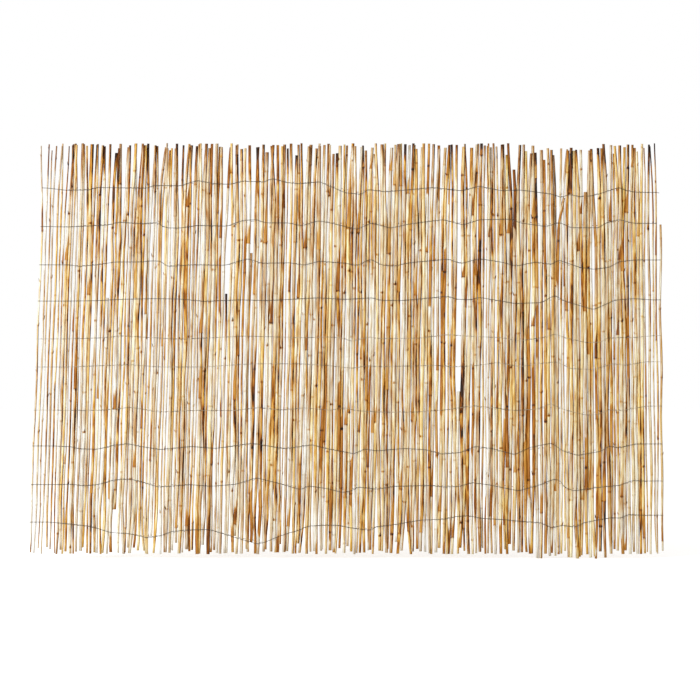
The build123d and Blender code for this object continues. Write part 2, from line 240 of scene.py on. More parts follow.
# The wires. Those of the middle rows are drawn deeper between the reeds than the rest, and are pale with
# dark specks. The end of one has a short tail, whose points lie this far on and this far up.
WIRE_RADIUS = 0.65
SUNK_WIRE_RADIUS = 0.5
WIRE_SIDES = 6
WIRE_STEP = 2.0
WIRE_REST = 3
CREST_STEP = 1.0
BARE_REACH = 2
BARE_BLEND = 3
DIP_BLEND = 1
HEIGHT_BLEND = 3
TURNED_IN_COUNT = 2
SAME_PLACE = 1e-5
PLACE_DIGITS = 5
SUNK_ROWS = range(5, 8)
SUNK_SHARE = 0.5
SURFACE_SHARE = 0.15
TAIL_NODE = "wire_01_front"
TAIL_BENDS = [(2.0, -0.2), (4.5, -1.2), (7.0, -0.8)]
WIRE_STAINS = 90
SUNK_WIRE_STAINS = 130

# How the tone changes over the surface of a reed, by noise that is drawn out along it.
FINE_LINES = Grain(scale=1600, squash=0.02, low=0.3, high=0.7, reach=0.07)
STREAKS = Grain(scale=400, squash=0.06, low=0.3, high=0.7, reach=0.22)
BLOTCHES = Grain(scale=120, squash=0.15, low=0.36, high=0.64, reach=0.11)
EDGE_BREAKS = Grain(scale=70, squash=0.3, low=0.4, high=0.6, reach=0.6)
SPECKS = Grain(scale=900, squash=0.4, low=0.70, high=0.76, reach=0.3)
# Painted shade on the darker side of each section: where it starts and ends around the reed, and its darkest
# tone.
PAINTED_SHADE_SIDE = (0.36, 0.70)
DARKEST_PAINTED_SHADE = 0.48
# Painted highlight on the paler side of each section.
PAINTED_HIGHLIGHT_SIDE = (-0.80, -0.25)
PAINTED_HIGHLIGHT_TONE = 0.15
# Painted shade at the rims of each reed, as seen from the front and back, where it meets its neighbours.
PAINTED_RIM_SHADE = (0.74, 0.98)
PAINTED_RIM_SHADE_TONE = 0.36
BROWN_RAGGEDNESS = 0.8
BROWN_SIDE_PULL = 0.3
BROWN_EDGE = (0.40, 0.60)
LEAF_GRAIN_SHARE = 0.6

# The relief and the gloss of the surfaces. A bump has its strength and its height in metres, and a roughness
# follows a noise between two levels.
NOISE_LEVELS = (0.3, 0.7)
REED_BUMP = (0.35, 0.0004)
LINE_RELIEF_SHARE = 0.6
STREAK_RELIEF_SHARE = 0.4
REED_ROUGHNESS = (0.48, 0.68)
GLOSS_FLANKS = (0.2, 0.8)
GLOSS = 0.3
WIRE_GRAIN = 1500
WIRE_STAIN_DETAIL = 3.0
WIRE_BUMP = (0.3, 0.0001)
WIRE_METAL = 0.3
WIRE_ROUGHNESS = (0.4, 0.6)
FLOOR_GRAIN = 40
FLOOR_BUMP = (0.05, 0.001)
FLOOR_ROUGHNESS = (0.85, 0.95)
FLOOR_GLOW = 0.5

# The colours of the reeds by tone, greyish and golden, the wire and the floor, as they look on a screen.
GREY_REED_COLOURS = [
    (0.00, (248, 247, 240)), (0.16, (226, 223, 211)), (0.34, (211, 195, 168)), (0.52, (191, 158, 118)),
    (0.68, (169, 119, 67)), (0.80, (140, 86, 34)), (0.90, (100, 54, 14)), (1.00, (36, 20, 8)),
]
GOLDEN_REED_COLOURS = [
    (0.00, (255, 250, 212)), (0.16, (246, 224, 156)), (0.34, (231, 194, 104)), (0.52, (214, 158, 56)),
    (0.68, (186, 117, 22)), (0.80, (150, 85, 6)), (0.90, (108, 54, 2)), (1.00, (38, 18, 2)),
]
LEAF_GOLD = 0.7
# The side with painted shade turns golden.
PAINTED_SHADE_GOLD = 0.9
WIRE_COLOURS = [(0.3, (40, 33, 28)), (0.7, (74, 64, 55))]
SUNK_WIRE_COLOURS = [(0.44, (44, 34, 26)), (0.54, (196, 180, 152))]
FLOOR_COLOUR = (245, 244, 242)

# The studio. The view takes in a square of this width at the screen, with its centre at this place.
VIEW_WIDTH = 1.72
VIEW_CENTRE = (0.0086, 0.0, 0.5125)
VIEW_DISTANCE = 8.0
SENSOR_WIDTH = 36.0
AMBIENT = 0.6
LAMP_PLACE = (-4.2, -4.2, 3.0)
LAMP_SIZE = 3.0
LAMP_POWER = 260
FLOOR_SIZE = 40


class Reed(NamedTuple):
    """A straight reed: the edges of its foot and head, its two ends and how deep its crest lies."""
    foot_left: float
    foot_right: float
    head_left: float
    head_right: float
    bottom: float
    top: float
    sink: float
    loose: bool

    def left_at(self, height):
        return self.foot_left + (self.head_left - self.foot_left) * height / REED_LENGTH

    def right_at(self, height):
        return self.foot_right + (self.head_right - self.foot_right) * height / REED_LENGTH

    def middle_at(self, height):
        return (self.left_at(height) + self.right_at(height)) / 2


class Gap(NamedTuple):
    """A gap between a reed of the mat and the next one on its right, from one height to another."""
    index: int
    low: float
    high: float
    width: float


class Bud(NamedTuple):
    """A dry bud that stands out of a joint."""
    height: float
    angle: float
    size: float
    tone: float


class Stem(NamedTuple):
    """A reed's rings from foot to head, as one array for each value of a ring, and its buds."""
    heights: np.ndarray
    across: np.ndarray
    depth: np.ndarray
    radius: np.ndarray
    tone: np.ndarray
    painted_shade_tone: np.ndarray
    side_angle: np.ndarray
    gold: np.ndarray
    joint: np.ndarray
    bud: np.ndarray
    bud_angle: np.ndarray
    brown: np.ndarray
    brown_tone: np.ndarray
    buds: list


def split_width(width, start, shares):
    """The edges of lanes that split a width in the ratio of their shares."""
    scale = width / sum(shares)
    edges = [start]
    for share in shares:
        edges.append(edges[-1] + share * scale)
    return edges


def narrowed(edges, share):
    """A lane's two edges, drawn in about its middle."""
    middle = sum(edges) / 2
    half = (edges[1] - edges[0]) / 2 * share
    return [middle - half, middle + half]


def nearest(values, target):
    """The index of the value that is nearest to a target."""
    return int(np.argmin(np.abs(np.array(values) - target)))


def lay_out_reeds():
    """All the reeds from left to right, each in a lane of its own."""
    dice = random.Random(REED_SEED)
    count = LEFT_LOOSE_COUNT + MAT_REED_COUNT + RIGHT_LOOSE_COUNT
    in_mat = range(LEFT_LOOSE_COUNT, LEFT_LOOSE_COUNT + MAT_REED_COUNT)
    foot_shares = []
    head_shares = []
    for index in range(count):
        share = dice.uniform(1 - WIDTH_SCATTER, 1 + WIDTH_SCATTER)
        if index not in in_mat:
            share *= LOOSE_SPACING_SHARE
        foot_shares.append(share)
        head_shares.append(share * dice.uniform(1 - FAN_SCATTER, 1 + FAN_SCATTER))
    foot_edges = split_width(FOOT_WIDTH, 0, foot_shares)
    head_edges = split_width(HEAD_WIDTH, LEFT_LEAN, head_shares)

    reeds = []
    for index in range(count):
        foot = foot_edges[index:index + 2]
        head = head_edges[index:index + 2]
        bottom = min(dice.expovariate(1 / FOOT_SCATTER), FOOT_RISE_LIMIT)
        top = REED_LENGTH + HEAD_REACH - min(dice.expovariate(1 / HEAD_SCATTER), HEAD_DROP_LIMIT)
        sink = dice.choice(SINK_CHOICES)
        if index not in in_mat:
            sink = 0
            foot = narrowed(foot, LOOSE_FILL_SHARE)
            head = narrowed(head, LOOSE_FILL_SHARE)
        if SLIPPED_BUNDLE_SHARES[0] < index / count < SLIPPED_BUNDLE_SHARES[1]:
            bottom -= SLIP
            top -= SLIP
        reeds.append(Reed(*foot, *head, bottom, top, sink, index not in in_mat))

    for along, bottom, top in SHORT_REEDS:
        low = REED_LENGTH * bottom / 100
        high = REED_LENGTH * top / 100
        middles = [reed.middle_at((low + high) / 2) for reed in reeds]
        index = nearest(middles, FOOT_WIDTH * along / 100)
        reeds[index] = reeds[index]._replace(
            bottom=max(low, reeds[index].bottom),
            top=min(high, reeds[index].top),
        )
    return reeds


def find_gaps(mat):
    """The gaps of the mat that stand out."""
    gaps = []
    for along, low_percent, high_percent, width in GAPS + WIDE_LANES:
        low = REED_LENGTH * low_percent / 100
        high = REED_LENGTH * high_percent / 100
        edges = [reed.right_at((low + high) / 2) for reed in mat[:-1]]
        gaps.append(Gap(nearest(edges, FOOT_WIDTH * along / 100), low, high, width))
    return gaps


def find_slits(mat, gaps):
    """The long slits of the mat. They keep clear of the gaps, and of edges with a gap halfway up."""
    dice = random.Random(SLIT_SEED)
    slits = []
    for index in range(len(mat) - 1):
        in_left_part = index < LEFT_PART_SHARE * len(mat)
        chance = LEFT_SLIT_CHANCE if in_left_part else OTHER_SLIT_CHANCE
        low = dice.uniform(*SLIT_ENDS)
        high = REED_LENGTH - dice.uniform(*SLIT_ENDS)
        width = dice.uniform(*SLIT_WIDTHS)
        for gap in gaps:
            if gap.index == index and gap.high >= REED_LENGTH:
                high = min(high, gap.low - SLIT_ROOM)
            elif gap.index == index and gap.low <= 0:
                low = max(low, gap.high + SLIT_ROOM)
            elif gap.index == index:
                chance = 0
        if dice.random() < chance:
            slits.append(Gap(index, low, high, width))
    return slits


def slit_room(index, slits, heights):
    """How much a reed of the mat gives up to a slit on its left and on its right, along its length."""
    rooms = []
    for edge in (index - 1, index):
        room = np.zeros_like(heights)
        for slit in slits:
            if slit.index == edge:
                inner = [slit.low + SLIT_TAPER, slit.high - SLIT_TAPER]
                room += np.interp(heights, [slit.low, *inner, slit.high], [0, 1, 1, 0]) * slit.width / 2
        rooms.append(room)
    return rooms


def parting(index, gaps, heights):
    """How far a reed of the mat is pushed aside along its length by the gaps near it."""
    shift = np.zeros_like(heights)
    for gap in gaps:
        places_away = index - gap.index if index <= gap.index else gap.index + 1 - index
        if places_away <= -PARTING_REACH:
            continue
        side = -1 if index <= gap.index else 1
        share = 1 + places_away / PARTING_REACH
        along = np.clip((heights - gap.low) / (gap.high - gap.low), 0, 1)
        if gap.high >= REED_LENGTH:
            opening = along
        elif gap.low <= 0:
            opening = 1 - along
        else:
            opening = np.sin(np.pi * along) ** 2
        shift += side * share * PARTING_SHARE * gap.width / 2 * opening
    return shift


def find_joints(reed, dice):
    """The heights of a reed's joints."""
    joints = []
    height = reed.bottom + dice.uniform(FIRST_JOINT_LEAST, JOINT_SPACING[1])
    while height < reed.top - LAST_JOINT_ROOM:
        joints.append(height)
        height += dice.uniform(*JOINT_SPACING)
    return joints


def growth(heights, start, end):
    """A share that grows from 0 at a start height to 1 at an end height."""
    return np.clip((heights - start) / (end - start), 0, 1)


def along_screen(reed, heights):
    """How far along the screen a reed stands, in percent."""
    return 100 * reed.middle_at(heights) / FOOT_WIDTH


def sections(heights, joints):
    """Which rings lie in each section between two joints, from foot to head."""
    edges = [-REED_LENGTH, *joints, 2 * REED_LENGTH]
    return [(heights > low) & (heights <= high) for low, high in zip(edges, edges[1:])]


def stem_path(reed, index, heights, joints, gaps, rooms, dice):
    """A reed's crooked centre line: how far along and how deep."""
    across = reed.middle_at(heights) + (rooms[0] - rooms[1]) / 2
    depth = np.full_like(heights, dice.choice((-1, 1)) * dice.uniform(*DEPTHS))
    for line in (across, depth):
        phase = dice.uniform(0, math.tau)
        line += dice.uniform(*SWAY) * np.sin(phase + math.tau * heights / dice.uniform(*SWAY_LENGTHS))
    if joints:
        across += np.interp(heights, joints, [dice.gauss(0, KINK) for joint in joints])
    head_bend = growth(heights, dice.uniform(*HEAD_SPLAY_STARTS), REED_LENGTH) ** SPLAY_POWER
    foot_bend = growth(heights, dice.uniform(*FOOT_SPLAY_STARTS), 0) ** SPLAY_POWER
    for line, head_reach, foot_reach in zip((across, depth), HEAD_SPLAY, FOOT_SPLAY):
        line += dice.gauss(0, head_reach) * head_bend
        line += dice.gauss(0, foot_reach) * foot_bend
    if not reed.loose:
        across += parting(index - LEFT_LOOSE_COUNT, gaps, heights)
    for along, break_percent, lean in BENT_REEDS:
        break_height = REED_LENGTH * break_percent / 100
        if reed.left_at(break_height) <= FOOT_WIDTH * along / 100 < reed.right_at(break_height):
            across += lean * growth(heights, break_height, reed.top)
    return across, depth


def stem_radius(reed, heights, joints, rooms, dice):
    """A reed's radius along its length, without the swelling of its joints."""
    half_lane = (reed.right_at(heights) - reed.left_at(heights) - rooms[0] - rooms[1]) / 2
    fill = np.interp(along_screen(reed, heights), *zip(*FILLS_ALONG))
    taper = 1 + dice.choice((-1, 1)) * TAPER_SHARE * (heights / REED_LENGTH - 0.5)
    radius = half_lane * fill * taper * dice.uniform(1 - FILL_SCATTER, 1 + FILL_SCATTER)
    for inside in sections(heights, joints):
        radius[inside] *= dice.uniform(1 - SECTION_SCATTER, 1 + SECTION_SCATTER)
    radius *= 1 - HEAD_THINNING[1] * growth(heights, HEAD_THINNING[0], REED_LENGTH)
    radius *= 1 - FOOT_THINNING[1] * growth(heights, FOOT_THINNING[0], 0)
    return np.minimum(radius, LARGEST_RADIUS)


def drift(heights, joints, draw):
    """A value that is drawn for each section between two joints and changes smoothly between them."""
    edges = [heights[0], *joints, heights[-1]]
    middles = [(low + high) / 2 for low, high in zip(edges, edges[1:])]
    return np.interp(heights, middles, [draw() for middle in middles])


def stem_tone(reed, heights, joints, dice):
    """The tone of each ring: the screen's, the reed's, its section's and a dark tip."""
    tone = np.interp(along_screen(reed, heights), *zip(*TONES_ALONG)) + dice.gauss(0, REED_TONE_SCATTER)
    tone += drift(heights, joints, lambda: dice.gauss(0, SECTION_TONE_SCATTER))
    tip_length = dice.uniform(*DARK_TIP_LENGTHS)
    return tone + dice.uniform(*DARK_TIP_TONES) * growth(heights, reed.top - tip_length, reed.top)


def brown_sections(reed, heights, joints, radius, dice):
    """How much of each ring is brown, and its tone. A brown section is thickest at its foot."""
    brown = np.full_like(heights, NO_BROWN)
    brown_tone = np.zeros_like(heights)
    chance = np.interp(along_screen(reed, heights[0]), (0, 100), BROWN_SECTION_SHARES)
    for inside in sections(heights, joints):
        brown_tone[inside] = dice.uniform(*BROWN_TONES)
        if dice.random() < chance:
            share = growth(heights[inside], heights[inside][0], heights[inside][-1] + 1)
            brown[inside] = 1 + (NO_BROWN - 1) * share
            radius[inside] *= 1 + BROWN_SWELL * (1 - share)
    return brown, brown_tone


def grow_stem(reed, index, gaps, slits, dice):
    """The rings of a crooked, jointed stem in a reed's lane."""
    joints = find_joints(reed, dice)
    steps = np.linspace(reed.bottom, reed.top, int((reed.top - reed.bottom) / RING_STEP) + 2)
    far_from_joints = [
        step for step in steps[1:-1] if all(abs(step - joint) > JOINT_CLEARANCE for joint in joints)
    ]
    close_to_joints = [joint + offset for joint in joints for offset, swell, mark in JOINT_RINGS]
    heights = np.array(sorted([reed.bottom, reed.top, *far_from_joints, *close_to_joints]))

    rooms = slit_room(index - LEFT_LOOSE_COUNT, slits, heights)
    across, depth = stem_path(reed, index, heights, joints, gaps, rooms, dice)
    radius = stem_radius(reed, heights, joints, rooms, dice)
    tone = stem_tone(reed, heights, joints, dice)
    # How dark the painted shade on one side of each section is, and where that side faces.
    painted_shade_tone = drift(heights, joints, lambda: dice.uniform(*PAINTED_SHADE_TONES))
    side_angle = drift(heights, joints, lambda: dice.gauss(0, SIDE_ANGLE_SCATTER))
    gold_power = np.interp(along_screen(reed, 0), (0, 100), GOLD_POWERS)
    gold = drift(heights, joints, lambda: dice.random() ** gold_power)
    brown, brown_tone = brown_sections(reed, heights, joints, radius, dice)
    joint_mark, bud, bud_angle = np.zeros((3, len(heights)))
    bud_side = dice.uniform(0, math.tau)
    buds = []
    for joint in joints:
        darkness = dice.uniform(*JOINT_MARKS)
        bud_darkness = BUD_MARK * dice.random() ** BUD_MARK_POWER
        bud_side += math.pi
        if bud_darkness > LEAST_BUD_DARKNESS:
            size = np.interp(bud_darkness, (LEAST_BUD_DARKNESS, BUD_MARK), BUD_SIZES)
            tone_of_bud = np.interp(bud_darkness, (LEAST_BUD_DARKNESS, BUD_MARK), BUD_TONES)
            buds.append(Bud(joint, bud_side, size, tone_of_bud))
        for offset, swell, mark in JOINT_RINGS:
            ring = nearest(heights, joint + offset)
            radius[ring] *= swell
            joint_mark[ring] = darkness * mark
            bud[ring] = bud_darkness * mark
            bud_angle[ring] = bud_side
    return Stem(
        heights, across, depth, radius, tone, painted_shade_tone, side_angle, gold,
        joint_mark, bud, bud_angle, brown, brown_tone, buds,
    )


def paint_brown(stems):
    """Makes the brown stems brown, with ragged ends."""
    for along, low_percent, high_percent, tone in BROWN_STEMS:
        low = REED_LENGTH * low_percent / 100
        high = REED_LENGTH * high_percent / 100
        if high_percent >= 100:
            high = 2 * REED_LENGTH
        middle = (low + min(high, REED_LENGTH)) / 2
        places = [
            np.interp(middle, stem.heights, stem.across, left=OUT_OF_REACH, right=OUT_OF_REACH)
            for stem in stems
        ]
        stem = stems[nearest(places, FOOT_WIDTH * along / 100)]
        share = growth(stem.heights, low - BROWN_BLEND, low)
        share = share * growth(stem.heights, high + BROWN_BLEND, high)
        stem.brown[:] = np.maximum(stem.brown, NO_BROWN + (1 - NO_BROWN) * share)
        stem.brown_tone[share > 0] = tone


class Ring(NamedTuple):
    """A ring of a tube that stands upright, with the values that colour it."""
    x: float
    y: float
    z: float
    radius: float
    tone: float
    painted_shade_tone: float = 0
    side_angle: float = 0
    gold: float = 0
    joint: float = 0
    bud: float = 0
    bud_angle: float = 0
    brown: float = NO_BROWN
    brown_tone: float = 0


class MeshLists:
    """The points, faces, map places and values of a mesh that is put together from rings."""

    def __init__(self, value_names=()):
        self.points = []
        self.faces = []
        self.places = []
        self.values = {name: [] for name in value_names}

    def add_ring(self, ring):
        for side in range(SIDES):
            angle = math.tau * side / SIDES
            x = ring.x + ring.radius * math.cos(angle)
            y = ring.y + ring.radius * math.sin(angle)
            self.points.append((x, y, ring.z))
            bud_nearness = max(math.cos(angle - ring.bud_angle), 0) ** BUD_MARK_TIGHTNESS
            values = {
                "tone": ring.tone,
                "painted_shade_tone": ring.painted_shade_tone,
                "side": math.cos(angle - ring.side_angle),
                "flank": abs(math.cos(angle)),
                "gold": ring.gold,
                "joint": ring.joint + ring.bud * bud_nearness,
                "brown": ring.brown,
                "brown_tone": ring.brown_tone,
            }
            for name, value in values.items():
                self.values[name].append(value)

    def join_rings(self, first, count, sides, place_of):
        """Joins a run of rings with four-sided faces and closes its two ends."""
        for ring in range(count - 1):
            low = first + ring * sides
            for side in range(sides):
                after = (side + 1) % sides
                self.faces.append((low + side, low + after, low + sides + after, low + sides + side))
                self.places.append([
                    place_of(ring, side), place_of(ring, side + 1),
                    place_of(ring + 1, side + 1), place_of(ring + 1, side),
                ])
        last = first + (count - 1) * sides
        self.faces.append(tuple(first + side for side in reversed(range(sides))))
        self.places.append([place_of(0, side) for side in reversed(range(sides))])
        self.faces.append(tuple(last + side for side in range(sides)))
        self.places.append([place_of(count - 1, side) for side in range(sides)])


def hollow_rings(x, y, z, radius, inward):
    """The rings of a stem's hollow end, from the middle of its floor out to its rim. Its floor and inner
    wall are painted dark as shade, darkest at the floor.
    """
    floor = z + inward * HOLLOW_DEPTH
    hollow = radius * HOLLOW_SHARE
    return [
        Ring(x, y, floor, hollow * HOLLOW_FLOOR_SHARE, HOLLOW_SHADE_TONE),
        Ring(x, y, floor, hollow, HOLLOW_SHADE_TONE),
        Ring(x, y, z, hollow, RIM_TONE),
    ]


def add_stem(lists, stem, column, columns):
    """Adds a hollow stem. Its surface takes one column of the mesh's map."""
    first = len(lists.points)
    heights, across, depth, radius, *values, buds = stem
    rings = hollow_rings(across[0], depth[0], heights[0], radius[0], 1)
    rings += [Ring(*ring) for ring in zip(across, depth, heights, radius, *values)]
    rings += reversed(hollow_rings(across[-1], depth[-1], heights[-1], radius[-1], -1))
    travel = [0.0]
    for before, after in zip(rings, rings[1:]):
        travel.append(travel[-1] + math.dist(before[:4], after[:4]))

    def place_of(ring, side):
        across_map = (column + COLUMN_MAP_START + COLUMN_MAP_REACH * side / SIDES) / columns
        return (across_map, STEM_MAP_START + STEM_MAP_REACH * travel[ring] / travel[-1])

    for ring in rings:
        lists.add_ring(ring)
    lists.join_rings(first, len(rings), SIDES, place_of)
    for number, bud in enumerate(buds):
        map_left = (column + COLUMN_MAP_START + COLUMN_MAP_REACH * number / len(buds)) / columns
        add_bud(lists, stem, bud, map_left, BUD_MAP_WIDTH / len(buds) / columns)


def add_bud(lists, stem, bud, map_left, map_width):
    """Adds a bud, rooted in its joint. Its surface takes a small place of the mesh's map."""
    first = len(lists.points)
    x = np.interp(bud.height, stem.heights, stem.across)
    y = np.interp(bud.height, stem.heights, stem.depth)
    surface = np.interp(bud.height, stem.heights, stem.radius)
    for rise, reach, radius in BUD_RINGS:
        out = surface + reach * bud.size
        lists.add_ring(Ring(
            x + out * math.cos(bud.angle), y + out * math.sin(bud.angle), bud.height + rise * bud.size,
            radius * bud.size, bud.tone, brown=1, brown_tone=bud.tone,
        ))

    def place_of(ring, side):
        up_map = BUD_MAP_START + BUD_MAP_REACH * ring / (len(BUD_RINGS) - 1)
        return (map_left + map_width * side / SIDES, up_map)

    lists.join_rings(first, len(BUD_RINGS), SIDES, place_of)


def make_object(name, lists, material, node_names):
    """A shaded piece in the frame that stands for the named nodes."""
    mesh = bpy.data.meshes.new(name)
    points = np.array(lists.points) * MM + np.array(to_frame)
    mesh.from_pydata(points.tolist(), [], lists.faces)
    for value_name, values in lists.values.items():
        mesh.attributes.new(value_name, "FLOAT", "POINT").data.foreach_set("value", values)
    uv_map = mesh.uv_layers.new(name="OFBake")
    uv_map.data.foreach_set("uv", np.array([c for place in lists.places for c in place]).ravel())
    mesh.polygons.foreach_set("use_smooth", [True] * len(mesh.polygons))
    mesh.materials.append(material)
    mesh.update()
    piece = bpy.data.objects.new(name, mesh)
    bpy.context.scene.collection.objects.link(piece)
    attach(piece, "root")
    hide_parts(*node_names)


def linear(colour):
    """A colour of a screen as the shader takes it."""
    shares = [value / 255 for value in colour]
    return [*(s / 12.92 if s <= 0.04045 else ((s + 0.055) / 1.055) ** 2.4 for s in shares), 1.0]


class Nodes:
    """A short way to add shader nodes and to link them."""

    def __init__(self, tree):
        self.tree = tree
        self.tree.nodes.clear()

    def add(self, kind, settings=None, **inputs):
        node = self.tree.nodes.new(kind)
        for name, value in (settings or {}).items():
            setattr(node, name, value)
        for name, value in inputs.items():
            socket = node.inputs[int(name[1:])] if name[0] == "_" else node.inputs[name.replace("_", " ")]
            if isinstance(value, bpy.types.NodeSocket):
                self.tree.links.new(value, socket)
            else:
                socket.default_value = value
        return node

    def math(self, operation, first, second=0.0):
        return self.add("ShaderNodeMath", {"operation": operation}, _0=first, _1=second).outputs[0]

    def add_up(self, first, *others):
        total = first
        for other in others:
            total = self.math("ADD", total, other)
        return total

    def noise(self, vector, scale, detail=2.0, roughness=0.5):
        settings = {"Scale": scale, "Detail": detail, "Roughness": roughness}
        return self.add("ShaderNodeTexNoise", Vector=vector, **settings).outputs["Fac"]

    def remap(self, value, low, high, new_low, new_high):
        made = self.add("ShaderNodeMapRange", _0=value, _1=low, _2=high, _3=new_low, _4=new_high)
        return made.outputs["Result"]

    def ramp(self, value, stops):
        made = self.add("ShaderNodeValToRGB", Fac=value)
        elements = made.color_ramp.elements
        while len(elements) < len(stops):
            elements.new(0.5)
        for element, (place, colour) in zip(elements, stops):
            element.position = place
            element.color = linear(colour)
        return made.outputs["Color"]

    def attribute(self, name):
        return self.add("ShaderNodeAttribute", {"attribute_name": name}).outputs["Fac"]


def new_material(name):
    """An empty node material."""
    material = bpy.data.materials.new(name)
    material.use_nodes = True
    return material, Nodes(material.node_tree)


def grain_noise(nodes, place, grain):
    """The noise of a grain at a place."""
    drawn_out = nodes.add("ShaderNodeMapping", Vector=place, Scale=(1, 1, grain.squash)).outputs["Vector"]
    return nodes.noise(drawn_out, grain.scale)


def grain_tone(nodes, noise, grain):
    """What a grain's noise adds to the tone."""
    return nodes.remap(noise, grain.low, grain.high, -grain.reach, grain.reach)


def reed_material():
    """Peeled reed: straw with fine lines along it, painted shade on one side and at the rims, a painted
    highlight on the other side, brown bits of leaf and dark joints.
    """
    material, nodes = new_material("peeled_reed")
    place = nodes.add("ShaderNodeTexCoord").outputs["Object"]
    lines = grain_noise(nodes, place, FINE_LINES)
    streaks = grain_noise(nodes, place, STREAKS)
    blotches = grain_noise(nodes, place, BLOTCHES)
    specks = grain_noise(nodes, place, SPECKS)
    side = nodes.attribute("side")
    flank = nodes.attribute("flank")
    # The grain here also carries the painted shade at each reed's rims, as seen from the front and back, and
    # the leaf takes it too.
    grain = nodes.add_up(
        grain_tone(nodes, lines, FINE_LINES),
        grain_tone(nodes, streaks, STREAKS),
        grain_tone(nodes, blotches, BLOTCHES),
        nodes.remap(flank, *PAINTED_RIM_SHADE, 0.0, PAINTED_RIM_SHADE_TONE),
    )
    # Painted shade on the darker side of each section, broken up by noise.
    edge_breaks = grain_tone(nodes, grain_noise(nodes, place, EDGE_BREAKS), EDGE_BREAKS)
    painted_shade_tone = nodes.math("MULTIPLY", nodes.attribute("painted_shade_tone"), nodes.math("ADD", 1.0, edge_breaks))
    painted_shade_tone = nodes.math("MINIMUM", painted_shade_tone, DARKEST_PAINTED_SHADE)
    edge = nodes.remap(side, *PAINTED_SHADE_SIDE, 0.0, 1.0)
    straw_tone = nodes.add_up(
        nodes.attribute("tone"),
        grain,
        nodes.math("MULTIPLY", painted_shade_tone, edge),
        # Painted highlight on the paler side.
        nodes.remap(side, *PAINTED_HIGHLIGHT_SIDE, -PAINTED_HIGHLIGHT_TONE, 0.0),
    )
    leaf_grain = nodes.math("MULTIPLY", grain, LEAF_GRAIN_SHARE)
    leaf_tone = nodes.math("ADD", nodes.attribute("brown_tone"), leaf_grain)
    leaf_reach = nodes.add_up(
        nodes.attribute("brown"),
        nodes.math("MULTIPLY", side, BROWN_SIDE_PULL),
        nodes.remap(streaks, 0.0, 1.0, -BROWN_RAGGEDNESS / 2, BROWN_RAGGEDNESS / 2),
    )
    leaf = nodes.remap(leaf_reach, *BROWN_EDGE, 0.0, 1.0)
    tone = nodes.add("ShaderNodeMix", _0=leaf, _2=straw_tone, _3=leaf_tone).outputs[0]
    tone = nodes.add_up(
        tone,
        nodes.attribute("joint"),
        nodes.remap(specks, SPECKS.low, SPECKS.high, 0.0, SPECKS.reach),
    )
    grey = nodes.ramp(tone, GREY_REED_COLOURS)
    golden = nodes.ramp(tone, GOLDEN_REED_COLOURS)
    gold = nodes.math("MAXIMUM", nodes.attribute("gold"), nodes.math("MULTIPLY", leaf, LEAF_GOLD))
    # The side with painted shade turns golden.
    gold = nodes.math("MAXIMUM", gold, nodes.math("MULTIPLY", edge, PAINTED_SHADE_GOLD))
    mix = nodes.add("ShaderNodeMix", {"data_type": "RGBA"}, _0=gold, _6=grey, _7=golden)

    height = nodes.add_up(
        nodes.math("MULTIPLY", lines, LINE_RELIEF_SHARE),
        nodes.math("MULTIPLY", streaks, STREAK_RELIEF_SHARE),
    )
    bump = nodes.add("ShaderNodeBump", Strength=REED_BUMP[0], Distance=REED_BUMP[1], Height=height)
    shader = nodes.add(
        "ShaderNodeBsdfPrincipled",
        Base_Color=mix.outputs[2],
        Roughness=nodes.remap(streaks, *NOISE_LEVELS, *REED_ROUGHNESS),
        Normal=bump.outputs["Normal"],
        Specular_IOR_Level=nodes.remap(flank, *GLOSS_FLANKS, GLOSS, 0.0),
    )
    nodes.add("ShaderNodeOutputMaterial", Surface=shader.outputs["BSDF"])
    return material


def wire_material(name, stain_scale, colours):
    """Dull galvanised wire with darker, stained lengths."""
    material, nodes = new_material(name)
    place = nodes.add("ShaderNodeTexCoord").outputs["Object"]
    stains = nodes.noise(place, stain_scale, WIRE_STAIN_DETAIL)
    grain = nodes.noise(place, WIRE_GRAIN)
    bump = nodes.add("ShaderNodeBump", Strength=WIRE_BUMP[0], Distance=WIRE_BUMP[1], Height=grain)
    shader = nodes.add(
        "ShaderNodeBsdfPrincipled",
        Base_Color=nodes.ramp(stains, colours),
        Metallic=WIRE_METAL,
        Roughness=nodes.remap(grain, *NOISE_LEVELS, *WIRE_ROUGHNESS),
        Normal=bump.outputs["Normal"],
    )
    nodes.add("ShaderNodeOutputMaterial", Surface=shader.outputs["BSDF"])
    return material


def wire_bends(node_name):
    """The bends of a wire from left to right along its outer face: how far along and how high."""
    low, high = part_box(node_name)
    outer = low.y if node_name.endswith("front") else high.y
    heights = {}
    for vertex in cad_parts[node_name].data.vertices:
        if abs(vertex.co.y - outer) < SAME_PLACE:
            heights.setdefault(round(vertex.co.x, PLACE_DIGITS), []).append(vertex.co.z)
    bends = [(x, (min(z) + max(z)) / 2) for x, z in sorted(heights.items())]
    return [((x - to_frame[0]) / MM) for x, z in bends], [((z - to_frame[2]) / MM) for x, z in bends]


def spread(values, reach, take):
    """Each value replaced by one taken from those within a reach of it."""
    padded = np.pad(values, reach, mode="edge")
    return take(np.lib.stride_tricks.sliding_window_view(padded, 2 * reach + 1), axis=1)


def reed_crests(stems, xs, height, side):
    """How far the reeds stand out on one side along a row."""
    crests = np.zeros_like(xs)
    for stem in stems:
        if not stem.heights[0] < height < stem.heights[-1]:
            continue
        x = np.interp(height, stem.heights, stem.across)
        radius = np.interp(height, stem.heights, stem.radius)
        depth = np.interp(height, stem.heights, stem.depth)
        bulge = np.sqrt(np.clip(radius ** 2 - (xs - x) ** 2, 0, None))
        crests = np.maximum(crests, np.where(bulge > 0, side * depth + bulge, 0))
    return crests


